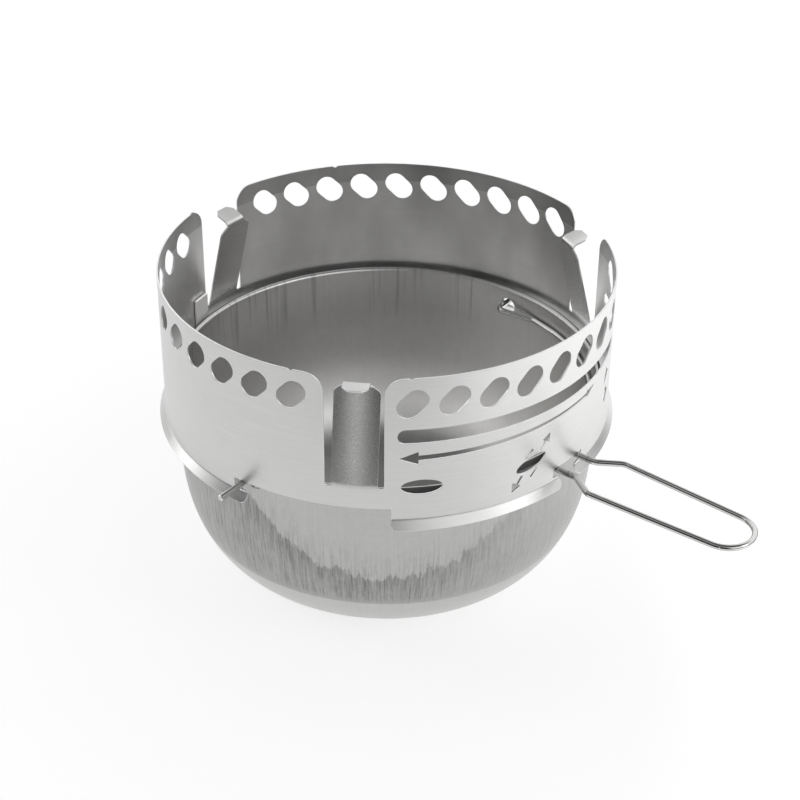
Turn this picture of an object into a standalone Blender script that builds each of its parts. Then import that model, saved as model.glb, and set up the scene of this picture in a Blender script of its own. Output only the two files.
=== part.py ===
"""Camping stove: a deep fire bowl, and a slotted windscreen ring that a spring-wire handle holds down on it.

The bowl's axis is Z and its flat bottom stands on z = 0. Azimuths are degrees counterclockwise from +X,
seen from above. Dimensions are millimetres, and MM turns them into metres.
"""

import math

import bmesh
import bpy
from mathutils import Matrix, Vector

MM = 0.001
FIT_GAP = 0.3              # gap between touching pieces

# Bowl: a deep-drawn vessel with a rolled rim
BOWL_SHEET = 0.9
BOWL_BASE_R = 43.0         # flat of the bottom
BOWL_WALL_R = 100.5        # outer radius where the side turns into the bottom curve
BOWL_TURN_Z = 70.5         # height at which that happens
BOWL_TOP_R = 101.2         # outer radius just under the rolled rim
BOWL_CURVE = 2.5           # exponent of the bottom's superellipse: 2 is an ellipse, more is boxier
BEAD_R = 1.7
BEAD_CENTRE_R = 101.6
BEAD_Z = 98.9
BOWL_STEPS = 72

# Windscreen: one ring of sheet, cut into three panels by three notches
SCREEN_R = 106.0           # middle of the sheet
SCREEN_SHEET = 0.8
BEND_Z = 87.0              # bend line of the flange, the datum of every screen height below
SCREEN_H = 71.5
PLAIN_EDGE = 5.6           # lower edge where there is no flange
NOTCH_FLOOR = 16.0
NOTCH_CENTRES = {"front": -97.0, "left": 143.0, "right": 23.0}
NOTCH_HALF = 7.0           # degrees
PANEL_CORNER_R = 8.6
FLANGE_LENGTH = 5.4
FLANGE_FLARE = 35.0        # degrees outward from straight down
TONGUE_TOP = 1.0           # upper edge of a flange tongue that runs free under a wire
COLUMN_STEP = 4.0          # degrees between the bend facets of the sheet
CREASE_R = 0.8             # small corner radius of the sheet's cuts
TONGUE_ROOT_R = 1.6        # upper corner of a tongue's free end
FLANGE_CORNER_R = 2.4

VENTS_PER_PANEL = 10
VENT_PITCH = 9.8           # degrees
VENT_Z = 59.0
VENT_WIDTH = 10.4
VENT_LENGTH = 15.4
VENT_SLANT = 45.0

# Openings of the right panel: places along the ring are azimuths, heights are above the bend line
SLOT_FROM = -87.0
SLOT_TO = 10.0
SLOT_Z = 42.75
SLOT_WIDTH = 6.9
ARROW_TIP = -86.8
ARROW_HEAD = -82.1
ARROW_SMALL_HEAD = -31.9
ARROW_END = -27.8
OVAL_AZ = -81.2
OVAL_Z = 16.7
OVAL_LENGTH = 18.3
OVAL_HEIGHT = 7.4
LIFT_SYMBOL_AZ = -52.5
LIFT_SYMBOL_Z = 15.6
DISC_LENGTH = 17.0
DISC_HEIGHT = 6.6
DISC_SLANT = 13.0
DIRECTION_MARK_AZ = -17.5

# Pot supports: tabs in the notches that lean inward and end in a small hook
TAB_HALF_WIDTH = 10.2
TAB_LEAN = 14.3            # degrees
TAB_SHOULDER = 43.7        # along the tab from the notch floor
TAB_FOLD = 47.5
HOOK_HALF_WIDTH = 5.8
HOOK_LENGTH = 9.5
HOOK_RISE = {"front": 4.0, "left": 20.0, "right": 17.0}   # degrees above horizontal
HOOK_CORNER_R = 2.6
TAB_SHOULDER_R = 2.6

# Doubler plate welded inside the ring's lap seam
SEAM_PLATE_AZ = 153.4
SEAM_PLATE_WIDTH = 10.4
SEAM_PLATE_HEIGHT = 18.0
SEAM_PLATE_THICK = 1.5
SEAM_PLATE_LOW = 7.0
SEAM_PLATE_BEVEL = 0.4

# Handle: a spring wire whose arms lie inside the bowl and whose loop sticks out under the screen
WIRE_D = 3.0
WIRE_Z = BEND_Z + 3.8
HANDLE_AZ = -38.6
LEG_HALF = 7.75            # from the handle's axis to a leg
LEG_END = 112.0            # along the handle, where the loop begins
LEG_STRAIGHT = 3.5         # from there to the first bend
LEG_SPLIT = 0.8            # clearance between arm and loop, which turn about different axes
SPREAD_END = 126.5
SPREAD_HALF = 15.0
LOOP_START = 187.4
LOOP_R = 12.6
LOOP_SPLIT = 0.6           # clearance between the halves of the loop, which turn about its outer end
ARM_R = 97.9               # arms follow the wall at this radius
TIP_AZ = {"left": -126.6, "right": 53.0}
TIP_OUT = 120.5
TIP_IN = 93.6
ARM_MEETS_WALL = 12.5      # degrees from the tip, where the arm reaches the wall
ARM_SETTLES = 8.0          # degrees further, where its plain run along the wall starts
LEG_TURN = 2.6             # degrees before the leg, where that run ends
LEG_CORNER_INSET = 0.3     # the leg's bend lies this much inside the run
TIP_BEND_R = 4.0
LEG_BEND_R = 2.6
LOOP_BEND_R = 6.0
WIRE_HOLE_R = 4.4
WIRE_HOLE_DEPTH = 24.0
ARM_TRAVEL = 2.9           # degrees each arm slides along the wall when the handle is squeezed

STAINLESS = (0.62, 0.62, 0.61, 1.0)
WIRE_STEEL = (0.55, 0.55, 0.55, 1.0)


def clear_scene():
    for item in list(bpy.data.objects):
        bpy.data.objects.remove(item, do_unlink=True)


def new_collection(name):
    group = bpy.data.collections.new(name)
    bpy.context.scene.collection.children.link(group)
    return group


def make_material(name, colour, metallic, roughness):
    material = bpy.data.materials.new(name)
    material.use_nodes = True
    shader = material.node_tree.nodes["Principled BSDF"]
    shader.inputs["Base Color"].default_value = colour
    shader.inputs["Metallic"].default_value = metallic
    shader.inputs["Roughness"].default_value = roughness
    return material


def polar(radius, azimuth, height):
    angle = math.radians(azimuth)
    return Vector((radius * math.cos(angle), radius * math.sin(angle), height))


def add_object(name, mesh, group, material=None):
    item = bpy.data.objects.new(name, mesh)
    group.objects.link(item)
    if material:
        mesh.materials.clear()
        mesh.materials.append(material)
    return item


# ---------------------------------------------------------------- flat outlines

def arc_points(centre, radius, start, end, steps):
    """Points of an arc in the plane, angles in degrees."""
    points = []
    for step in range(steps + 1):
        angle = math.radians(start + (end - start) * step / steps)
        points.append((centre[0] + radius * math.cos(angle), centre[1] + radius * math.sin(angle)))
    return points


def rounded(corners, steps=4):
    """Closed outline through (x, y, radius) corners, each corner an arc of its radius."""
    outline = []
    count = len(corners)
    for index, (x, y, radius) in enumerate(corners):
        here = Vector((x, y))
        if radius <= 0:
            outline.append((x, y))
            continue
        before = (Vector(corners[index - 1][:2]) - here).normalized()
        after = (Vector(corners[(index + 1) % count][:2]) - here).normalized()
        half = math.acos(max(-1.0, min(1.0, before.dot(after)))) / 2
        centre = here + (before + after).normalized() * radius / math.sin(half)
        first = here + before * radius / math.tan(half) - centre
        turn = first.angle_signed(here + after * radius / math.tan(half) - centre)
        for step in range(steps + 1):
            spoke = first.copy()
            spoke.rotate(Matrix.Rotation(-turn * step / steps, 2))
            outline.append(tuple(centre + spoke))
    return outline


def oblong(x, y, length, width, slant, steps=6):
    """Outline of a slot with round ends, centred on (x, y) and slanted by degrees."""
    half = (length - width) / 2
    axis = Vector((math.cos(math.radians(slant)), math.sin(math.radians(slant))))
    right = arc_points(tuple(Vector((x, y)) + axis * half), width / 2, slant - 90, slant + 90, steps)
    left = arc_points(tuple(Vector((x, y)) - axis * half), width / 2, slant + 90, slant + 270, steps)
    return right + left


def ellipse(x, y, length, height, slant=0.0, steps=18):
    points = []
    tilt = math.radians(slant)
    for step in range(steps):
        angle = 2 * math.pi * step / steps
        along = length / 2 * math.cos(angle)
        across = height / 2 * math.sin(angle)
        points.append((x + along * math.cos(tilt) - across * math.sin(tilt),
                       y + along * math.sin(tilt) + across * math.cos(tilt)))
    return points


def filled_sheet(outline, openings):
    """Flat mesh of an outline with openings, filled by a 2D curve."""
    curve = bpy.data.curves.new("flat_pattern", "CURVE")
    curve.dimensions = "2D"
    curve.fill_mode = "BOTH"
    for loop in [outline] + openings:
        spline = curve.splines.new("POLY")
        spline.points.add(len(loop) - 1)
        for point, (x, y) in zip(spline.points, loop):
            point.co = (x * MM, y * MM, 0.0, 1.0)
        spline.use_cyclic_u = True
    item = bpy.data.objects.new("flat_pattern", curve)
    bpy.context.scene.collection.objects.link(item)
    depsgraph = bpy.context.evaluated_depsgraph_get()
    mesh = bpy.data.meshes.new_from_object(item.evaluated_get(depsgraph))
    bpy.data.objects.remove(item, do_unlink=True)
    return mesh


def cut_lines(model, lines, normal):
    """Score the flat sheet along lines, so that it can bend there."""
    for offset in lines:
        geometry = list(model.verts) + list(model.edges) + list(model.faces)
        point = normal * offset * MM
        bmesh.ops.bisect_plane(model, geom=geometry, dist=1e-7, plane_co=point, plane_no=normal)


def bent_sheet(name, outline, openings, columns, rows, place, group, material):
    """Sheet-metal piece: a flat pattern, scored along columns and rows, bent by place(x, y), thickened."""
    mesh = filled_sheet(outline, openings)
    model = bmesh.new()
    model.from_mesh(mesh)
    bmesh.ops.remove_doubles(model, verts=model.verts, dist=1e-6)
    bmesh.ops.dissolve_limit(model, angle_limit=math.radians(1), verts=model.verts, edges=model.edges)
    cut_lines(model, columns, Vector((1, 0, 0)))
    cut_lines(model, rows, Vector((0, 1, 0)))
    bmesh.ops.remove_doubles(model, verts=model.verts, dist=0.02 * MM)
    model.normal_update()
    bmesh.ops.reverse_faces(model, faces=[face for face in model.faces if face.normal.z < 0])
    bmesh.ops.triangulate(model, faces=model.faces)
    for vert in model.verts:
        vert.co = place(vert.co.x / MM, vert.co.y / MM) * MM
    model.to_mesh(mesh)
    model.free()
    item = add_object(name, mesh, group, material)
    wall = item.modifiers.new("sheet_thickness", "SOLIDIFY")
    wall.thickness = SCREEN_SHEET * MM
    wall.offset = 0.0
    return item


# ---------------------------------------------------------------- windscreen

def arc_length(azimuth, centre):
    """Distance along the ring from centre to azimuth."""
    return math.radians(azimuth - centre) * SCREEN_R


def flange_run(start, joined_from, joined_to, end):
    """Lower-edge corners of a flange from start to end, joined to the band between the two middle azimuths.

    Beyond them it is a free tongue, with an open slot between it and the band.
    """
    corners = [(joined_from, PLAIN_EDGE, CREASE_R)]
    if start < joined_from:
        corners += [(joined_from, TONGUE_TOP, CREASE_R), (start, TONGUE_TOP, TONGUE_ROOT_R)]
    corners += [(start, -FLANGE_LENGTH, FLANGE_CORNER_R), (end, -FLANGE_LENGTH, FLANGE_CORNER_R)]
    if end > joined_to:
        corners += [(end, TONGUE_TOP, TONGUE_ROOT_R), (joined_to, TONGUE_TOP, CREASE_R)]
    corners.append((joined_to, PLAIN_EDGE, CREASE_R))
    return corners


def panel_outline(first, last, runs):
    """Flat outline of the panel between azimuths first and last, relative to its middle."""
    middle = (first + last) / 2
    seam = FIT_GAP / 2
    left = arc_length(first, middle) + seam
    right = arc_length(last, middle) - seam
    corners = [(left, PLAIN_EDGE, 0)]
    for run in runs:
        for azimuth, height, radius in flange_run(*run):
            corners.append((arc_length(azimuth, middle), height, radius))
    corners += [(right, PLAIN_EDGE, 0), (right, SCREEN_H, PANEL_CORNER_R), (left, SCREEN_H, PANEL_CORNER_R)]
    return rounded(corners)


def vent_row(middle, row_centre):
    vents = []
    for index in range(VENTS_PER_PANEL):
        azimuth = row_centre + (index - (VENTS_PER_PANEL - 1) / 2) * VENT_PITCH
        x = arc_length(azimuth, middle)
        vents.append(oblong(x, VENT_Z, VENT_LENGTH, VENT_WIDTH, VENT_SLANT))
    return vents


def draught_slot(middle):
    """Long air slot below the vents."""
    start = arc_length(SLOT_FROM, middle)
    end = arc_length(SLOT_TO, middle)
    return oblong((start + end) / 2, SLOT_Z, end - start, SLOT_WIDTH, 0.0)


def turn_arrow(middle):
    """Long two-headed arrow cut out under the slot, large head at one end and small at the other."""
    tip = arc_length(ARROW_TIP, middle)
    head = arc_length(ARROW_HEAD, middle)
    small = arc_length(ARROW_SMALL_HEAD, middle)
    end = arc_length(ARROW_END, middle)
    corners = [(tip, 31.6, 0), (head, 28.4, 0), (head, 30.4, 0), (small, 33.4, 0), (small, 32.5, 0),
               (end, 36.0, 0), (small, 35.9, 0), (small, 34.9, 0), (head, 33.0, 0), (head, 34.9, 0)]
    return rounded(corners)


def lift_symbol(middle):
    """Plain symbol beside the handle: a tilted disc with an arrow and a stroke on each side of it."""
    x = arc_length(LIFT_SYMBOL_AZ, middle)
    arrow = [(4.7, 5.0), (5.8, 4.6), (8.3, 8.0), (10.3, 7.0), (10.5, 11.9), (6.0, 9.6), (7.3, 8.7)]
    stroke = [(-2.9, 3.1), (0.7, 6.9), (-0.1, 7.6), (-3.7, 3.8)]
    outlines = [ellipse(x, LIFT_SYMBOL_Z, DISC_LENGTH, DISC_HEIGHT, DISC_SLANT, 24)]
    for mark in (arrow, stroke):
        outlines.append([(x + dx, LIFT_SYMBOL_Z + dy) for dx, dy in mark])
        outlines.append([(x - dx, LIFT_SYMBOL_Z - dy) for dx, dy in mark])
    return outlines


def direction_mark(middle):
    """Small triangle above a diamond at the slot's far end."""
    x = arc_length(DIRECTION_MARK_AZ, middle)
    triangle = [(x - 4.6, 26.6), (x + 3.2, 30.6), (x - 1.2, 34.6)]
    diamond = [(x, 14.6), (x + 5.0, 19.4), (x, 24.2), (x - 5.0, 19.4)]
    return [triangle, diamond]


def screen_panels(group, material):
    """Three panels of the ring. Each row: name, first and last azimuth, vent row's centre, flange runs."""
    panels = [
        ("windscreen_panel_right", -90.0, 16.0, -39.5,
         [(-88.3, -88.3, -44.8, -42.4), (-36.3, -32.8, 10.0, 10.0)]),
        ("windscreen_panel_back", 30.0, 136.0, 82.4, [(51.2, 54.9, 130.0, 130.0)]),
        ("windscreen_panel_left", 150.0, 256.0, 204.0, [(157.0, 157.0, 231.1, 235.3)]),
    ]
    for name, first, last, row_centre, runs in panels:
        middle = (first + last) / 2
        openings = vent_row(middle, row_centre)
        if name == "windscreen_panel_right":
            openings.append(draught_slot(middle))
            openings.append(turn_arrow(middle))
            openings.append(ellipse(arc_length(OVAL_AZ, middle), OVAL_Z, OVAL_LENGTH, OVAL_HEIGHT))
            openings += lift_symbol(middle)
            openings += direction_mark(middle)
        flare = math.radians(FLANGE_FLARE)

        def place(x, y, middle=middle):
            radius = SCREEN_R
            height = y
            if y < 0:
                radius = SCREEN_R - y * math.sin(flare)
                height = y * math.cos(flare)
            return polar(radius, middle + math.degrees(x / SCREEN_R), BEND_Z + height)

        half = math.ceil((last - first) / 2 / COLUMN_STEP)
        columns = [math.radians(COLUMN_STEP * k) * SCREEN_R for k in range(-half, half + 1)]
        outline = panel_outline(first, last, runs)
        bent_sheet(name, outline, openings, columns, [0.0], place, group, material)


def pot_supports(group, material):
    """Three tabs, each with the strip of band that carries it across the foot of its notch."""
    strip = arc_length(NOTCH_HALF, 0) - FIT_GAP / 2
    fold = NOTCH_FLOOR + TAB_FOLD
    shoulder = NOTCH_FLOOR + TAB_SHOULDER
    top = fold + HOOK_LENGTH
    half = [(strip, PLAIN_EDGE, 0), (strip, NOTCH_FLOOR, 0), (TAB_HALF_WIDTH, NOTCH_FLOOR, 0),
            (TAB_HALF_WIDTH, shoulder, TAB_SHOULDER_R), (HOOK_HALF_WIDTH, fold - 0.6, CREASE_R),
            (HOOK_HALF_WIDTH, top - HOOK_CORNER_R, CREASE_R),
            (HOOK_HALF_WIDTH - HOOK_CORNER_R, top, CREASE_R)]
    corners = half + [(-x, y, radius) for x, y, radius in reversed(half)]
    outline = rounded(corners, 3)
    lean = math.radians(TAB_LEAN)
    for side, centre in NOTCH_CENTRES.items():

        def place(x, y, centre=centre, rise=math.radians(HOOK_RISE[side])):
            """Band below the notch floor, then the leaning tab, then the hook folded back outward."""
            on_tab = max(0.0, min(y, fold) - NOTCH_FLOOR)
            on_hook = max(0.0, y - fold)
            inset = on_tab * math.sin(lean) - on_hook * math.cos(rise)
            height = min(y, NOTCH_FLOOR) + on_tab * math.cos(lean) + on_hook * math.sin(rise)
            point = polar(SCREEN_R, centre + math.degrees(x / SCREEN_R), BEND_Z + height)
            return point - polar(inset, centre, 0.0)

        columns = [-TAB_HALF_WIDTH / 2, 0.0, TAB_HALF_WIDTH / 2]
        bent_sheet("pot_support_" + side, outline, [], columns, [NOTCH_FLOOR, fold], place, group, material)


def seam_plate(group, material):
    """Doubler plate inside the lap of the ring."""
    bpy.ops.mesh.primitive_cube_add(size=MM)
    plate = bpy.context.object
    plate.name = "seam_plate"
    plate.scale = (SEAM_PLATE_THICK, SEAM_PLATE_WIDTH, SEAM_PLATE_HEIGHT)
    bpy.ops.object.transform_apply(location=False, rotation=False, scale=True)
    sagitta = SCREEN_R - math.hypot(SCREEN_R, SEAM_PLATE_WIDTH / 2)
    outer_face = SCREEN_R - SCREEN_SHEET / 2 - FIT_GAP + sagitta
    height = BEND_Z + SEAM_PLATE_LOW + SEAM_PLATE_HEIGHT / 2
    plate.location = polar(outer_face - SEAM_PLATE_THICK / 2, SEAM_PLATE_AZ, height) * MM
    plate.rotation_euler.z = math.radians(SEAM_PLATE_AZ)
    edges = plate.modifiers.new("edges", "BEVEL")
    edges.width = SEAM_PLATE_BEVEL * MM
    edges.segments = 1
    group_only(plate, group)
    plate.data.materials.append(material)


def group_only(item, group):
    for owner in list(item.users_collection):
        owner.objects.unlink(item)
    group.objects.link(item)


# ---------------------------------------------------------------- bowl

def turned(name, profile, steps, group, material):
    """Solid of revolution about Z from (radius, height) points that run down the outer side."""
    mesh = bpy.data.meshes.new(name)
    model = bmesh.new()
    verts = [model.verts.new((radius * MM, 0.0, height * MM)) for radius, height in profile]
    for first, second in zip(verts, verts[1:]):
        model.edges.new((first, second))
    if profile[0][0] > 0:
        model.edges.new((verts[-1], verts[0]))
    model.to_mesh(mesh)
    model.free()
    item = add_object(name, mesh, group, material)
    spin = item.modifiers.new("turn", "SCREW")
    spin.steps = steps
    spin.render_steps = steps
    spin.use_merge_vertices = True
    spin.merge_threshold = 1e-6
    return item


def wall_profile(offset, steps=13):
    """Side of the bowl from under the rim to the edge of the flat bottom, moved inward by offset."""
    points = [(BOWL_TOP_R - offset, BEAD_Z - BEAD_R)]
    for step in range(steps + 1):
        angle = math.pi / 2 * step / steps
        spread = abs(math.cos(angle)) ** (2 / BOWL_CURVE)
        drop = math.sin(angle) ** (2 / BOWL_CURVE)
        radius = BOWL_BASE_R + (BOWL_WALL_R - BOWL_BASE_R - offset) * spread
        height = offset + (BOWL_TURN_Z - offset) * (1 - drop)
        points.append((radius, height))
    return points


def bowl(group, cutters, material):
    """Bowl with its rolled rim and the four holes that the handle wire passes through."""
    inside = list(reversed(wall_profile(BOWL_SHEET)))
    bead = arc_points((BEAD_CENTRE_R, BEAD_Z), BEAD_R, 180, -104, 9)
    profile = [(0.0, BOWL_SHEET)] + inside[:-1] + bead + wall_profile(0.0)[1:] + [(0.0, 0.0)]
    body = turned("bowl", profile, BOWL_STEPS, group, material)
    shift = math.radians(ARM_TRAVEL / 2) * BOWL_TOP_R
    for name, start, direction in wire_holes(shift):
        drill(body, name, start, direction, cutters)


def drill(body, name, centre, direction, cutters):
    """Round wire hole through body."""
    bpy.ops.mesh.primitive_cylinder_add(vertices=20, radius=WIRE_HOLE_R * MM, depth=WIRE_HOLE_DEPTH * MM)
    cutter = bpy.context.object
    cutter.name = name
    cutter.location = centre * MM
    cutter.rotation_mode = "QUATERNION"
    cutter.rotation_quaternion = direction.to_track_quat("Z", "Y")
    cutter.hide_render = True
    cutter.display_type = "WIRE"
    group_only(cutter, cutters)
    hole = body.modifiers.new(name, "BOOLEAN")
    hole.object = cutter
    hole.solver = "EXACT"


def wire_holes(shift):
    """Name, centre and direction of each wire hole. The wire rests at the side away from the handle."""
    holes = []
    toward_handle = {"left": 1, "right": -1}
    for side, azimuth in TIP_AZ.items():
        turn = math.degrees(shift / BOWL_TOP_R) * toward_handle[side]
        tip_centre = polar(BOWL_TOP_R, azimuth + turn, WIRE_Z)
        holes.append(("tip_hole_" + side, tip_centre, polar(1, azimuth + turn, 0)))
        lateral = (LEG_HALF - shift) * -toward_handle[side]
        along = math.sqrt(BOWL_TOP_R ** 2 - lateral ** 2)
        centre = handle_point(along, lateral)
        holes.append(("leg_hole_" + side, centre, polar(1, HANDLE_AZ, 0)))
    return holes


# ---------------------------------------------------------------- handle

def handle_point(along, lateral):
    """Point of the handle's plane: along its axis from the bowl's centre, and across it to its left."""
    return polar(along, HANDLE_AZ, WIRE_Z) + polar(lateral, HANDLE_AZ + 90, 0.0)


def fillet_path(points, radius, steps=5):
    """Open path with each inner corner rounded to radius."""
    path = [points[0]]
    for before, here, after in zip(points, points[1:], points[2:]):
        back = (before - here).normalized()
        ahead = (after - here).normalized()
        half = back.angle(ahead) / 2
        reach = min(radius / math.tan(half), (before - here).length * 0.48, (after - here).length * 0.48)
        start = here + back * reach
        end = here + ahead * reach
        for step in range(steps + 1):
            t = step / steps
            path.append(start * (1 - t) ** 2 + here * 2 * t * (1 - t) + end * t ** 2)
    path.append(points[-1])
    return path


def wire(name, path, origin, group, material):
    """Round wire along path, with its origin on the axis that it turns about."""
    curve = bpy.data.curves.new(name, "CURVE")
    curve.dimensions = "3D"
    curve.bevel_depth = WIRE_D / 2 * MM
    curve.bevel_resolution = 2
    curve.use_fill_caps = True
    spline = curve.splines.new("POLY")
    spline.points.add(len(path) - 1)
    for point, place in zip(spline.points, path):
        point.co = (*((place - origin) * MM), 1.0)
    item = bpy.data.objects.new(name, curve)
    item.location = origin * MM
    group.objects.link(item)
    curve.materials.append(material)
    return item


def arm_path(side):
    """Arm from its tip outside the bowl, round the inside of the wall, out through the leg hole."""
    sign = 1 if side == "left" else -1
    tip = TIP_AZ[side]
    lateral = -LEG_HALF * sign
    corner_along = math.sqrt((ARM_R - LEG_CORNER_INSET) ** 2 - lateral ** 2)
    leg_az = HANDLE_AZ + math.degrees(math.atan2(lateral, corner_along))
    wall_from = tip + sign * ARM_MEETS_WALL
    start = wall_from + sign * ARM_SETTLES
    last = leg_az - sign * LEG_TURN
    entry = fillet_path([polar(TIP_OUT, tip, WIRE_Z), polar(TIP_IN, tip, WIRE_Z),
                         polar(ARM_R, wall_from, WIRE_Z), polar(ARM_R, start, WIRE_Z)], TIP_BEND_R)
    count = 12
    along_wall = [polar(ARM_R, start + (last - start) * k / count, WIRE_Z) for k in range(1, count)]
    exit_leg = fillet_path([polar(ARM_R, last - sign * 1.0, WIRE_Z), handle_point(corner_along, lateral),
                            handle_point(LEG_END - LEG_SPLIT, lateral)], LEG_BEND_R)
    return entry[:-1] + along_wall + exit_leg[1:]


def loop_path(side):
    """Half of the outer loop, from the open split beside the leg to the middle of the round end."""
    sign = -1 if side == "left" else 1
    arc_steps = 10
    # the halves part at the middle of the loop's end, half the split to either side
    gap_angle = math.degrees(LOOP_SPLIT / 2 / LOOP_R)
    start = [handle_point(LEG_END, LEG_HALF * sign), handle_point(LEG_END + LEG_STRAIGHT, LEG_HALF * sign),
             handle_point(SPREAD_END, SPREAD_HALF * sign), handle_point(LOOP_START, LOOP_R * sign)]
    path = fillet_path(start, LOOP_BEND_R)[:-1]
    for step in range(arc_steps + 1):
        angle = math.radians(90 - (90 - gap_angle) * step / arc_steps)
        path.append(handle_point(LOOP_START + LOOP_R * math.cos(angle), LOOP_R * math.sin(angle) * sign))
    return path


def handle(group, material):
    centre = Vector((0, 0, WIRE_Z))
    loop_end = handle_point(LOOP_START + LOOP_R, 0.0)
    for side in ("left", "right"):
        wire("handle_arm_" + side, arm_path(side), centre, group, material)
        wire("handle_loop_" + side, loop_path(side), loop_end, group, material)


def main():
    clear_scene()
    parts = new_collection("camping_stove")
    cutters = new_collection("cutters")
    steel = make_material("satin_stainless", STAINLESS, 1.0, 0.34)
    drawn = make_material("drawn_stainless", STAINLESS, 1.0, 0.40)
    wire_steel = make_material("polished_wire", WIRE_STEEL, 1.0, 0.18)
    bowl(parts, cutters, drawn)
    screen_panels(parts, steel)
    pot_supports(parts, steel)
    seam_plate(parts, steel)
    handle(parts, wire_steel)


main()
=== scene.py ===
"""Looks of the camping stove: deep stainless bowl, one-piece windscreen and spring-wire handle.

Lengths are in millimetres in the helpers, and MM turns them into metres. Azimuths are degrees
counterclockwise from +X, seen from above. The row's frame has its origin at the centre of the bowl's bottom.
"""
import math

import bmesh
import bpy
import numpy as np
from mathutils import Matrix, Vector


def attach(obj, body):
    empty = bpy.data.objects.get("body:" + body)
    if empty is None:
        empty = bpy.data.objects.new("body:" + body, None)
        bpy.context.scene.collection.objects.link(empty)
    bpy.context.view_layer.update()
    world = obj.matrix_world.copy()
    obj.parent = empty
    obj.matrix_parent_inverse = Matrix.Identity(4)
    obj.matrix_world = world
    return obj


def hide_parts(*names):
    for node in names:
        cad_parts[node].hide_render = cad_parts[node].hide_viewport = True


MM = 0.001

# bowl
BOWL_SHEET = 0.9
BASE_R = 43.0
WALL_R = 100.5
TURN_Z = 70.5
TOP_R = 101.2
CURVE = 2.5
BEAD_R = 1.7
BEAD_CENTRE_R = 101.6
BEAD_Z = 98.9

# windscreen: heights are above the bend line of its flange, places along it are azimuths
SCREEN_R = 106.0
SHEET = 0.8
BURR = 0.16                # how far the corners of a cut edge are rounded off
BEND_Z = 87.0
SCREEN_H = 71.5
PLAIN_EDGE = 5.6
CORNER_R = 8.6
STRIP_END = 153.4          # the lap seam, where the strip closes
SEAM_GAP = 0.1             # degrees

# its lower edge
FLANGE = 5.4
FLARE = 35.0
TONGUE_TOP = 1.0
CREASE_R = 0.8
TONGUE_ROOT_R = 2.6
FLANGE_CORNER_R = 3.0
# each run: start, joined from, joined to, end
FLANGE_RUNS = [(-203.0, -203.0, -128.9, -124.7), (-88.3, -88.3, -44.8, -42.4), (-36.3, -32.8, 10.0, 10.0),
               (51.2, 54.9, 130.0, 130.0)]

# its notches, each with a pot support
NOTCHES = (-97.0, 23.0, 143.0)
NOTCH_FLOOR = 16.0
NOTCH_HALF = 7.0
NOTCH_ROOT_R = 1.0
TAB_HALF = 10.2
TAB_LEAN = 14.3
TAB_SHOULDER = 43.7
TAB_SHOULDER_R = 2.6
TAB_FOLD = 47.5
HOOK_HALF = 5.8
HOOK_LENGTH = 9.5
HOOK_CORNER = 2.6
HOOK_RISE = {-97.0: 4.0, 23.0: 17.0, 143.0: 20.0}
DENTS = {143.0: 105.2, 23.0: -83.8, -97.0: -111.9}     # dent in the top edge that follows each notch
DENT_DEPTH = 0.7

# its openings
VENT_ROWS = (-39.5, 82.4, 204.0 - 360.0)
VENTS_PER_ROW = 10
VENT_PITCH = 9.8
VENT_Z = 59.0
VENT_LENGTH = 15.4
VENT_WIDTH = 10.4
VENT_SLANT = 45.0
SLOT_MIDDLE = -38.5
SLOT_SPAN = 97.0
SLOT_Z = 42.75
SLOT_WIDTH = 6.9
ARROW_TIP = -86.8
ARROW_HEAD = -82.1
ARROW_SMALL_HEAD = -31.9
ARROW_END = -27.8
OVAL_AZ = -81.2
OVAL_Z = 16.7
OVAL_LENGTH = 18.3
OVAL_HEIGHT = 7.4
LIFT_SYMBOL_AZ = -52.5
LIFT_SYMBOL_Z = 15.6
DISC_LENGTH = 17.0
DISC_HEIGHT = 6.6
DISC_SLANT = 13.0
DIRECTION_MARK_AZ = -17.5

# its bends
PROFILE_STEP = 0.02
ANCHOR_Y = 8.0             # height on the band that the bent sections are measured from
COLUMNS = 270

# handle
WIRE_R = 1.5
WIRE_Z = 90.8
HANDLE_AZ = -38.6
LEG_HALF = 7.75
LEG_END = 112.0
LEG_STRAIGHT = 3.5
SPREAD_END = 126.5
SPREAD_HALF = 15.0
LOOP_START = 187.4
LOOP_R = 12.6
LOOP_BEND_R = 6.0
ARM_R = 97.9
ARM_END_INSET = 0.1        # the arm stops this much short of LEG_END
LOOP_OVERLAP = 0.7         # and the loop's domed end reaches this far over it
ARM_MEETS_WALL = 12.5
ARM_SETTLES = 8.0
LEG_TURN = 2.6
LEG_CORNER_INSET = 0.3
TIP_OUT = 120.5
TIP_IN = 93.6
TIP_BEND_R = 4.0
LEG_BEND_R = 2.6
TIPS = {"left": -126.6, "right": 53.0}
WIRE_HOLE_R = 4.4
WIRE_HOLE_DEPTH = 24.0
HALF_TRAVEL = 1.45         # degrees: half of what an arm slides when the handle is squeezed

WARM = (1.0, 0.995, 0.985)    # tint of bare stainless steel
STAIN_FLOOR = 0.0306          # metres: height on the bowl's outside under which it is not stained

# studio, in metres
CAMERA_PLACE = (0.0065, -0.7407, 0.5481)
CAMERA_DOWN = 32.2            # degrees below level
CAMERA_ROLL = 0.009           # radians
DARK_CORNER = (-0.6, -0.8, 0.0)


def polar(radius, azimuth, height):
    angle = math.radians(azimuth)
    return Vector((radius * math.cos(angle), radius * math.sin(angle), height))


# ------------------------------------------------------------------ node helpers

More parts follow.
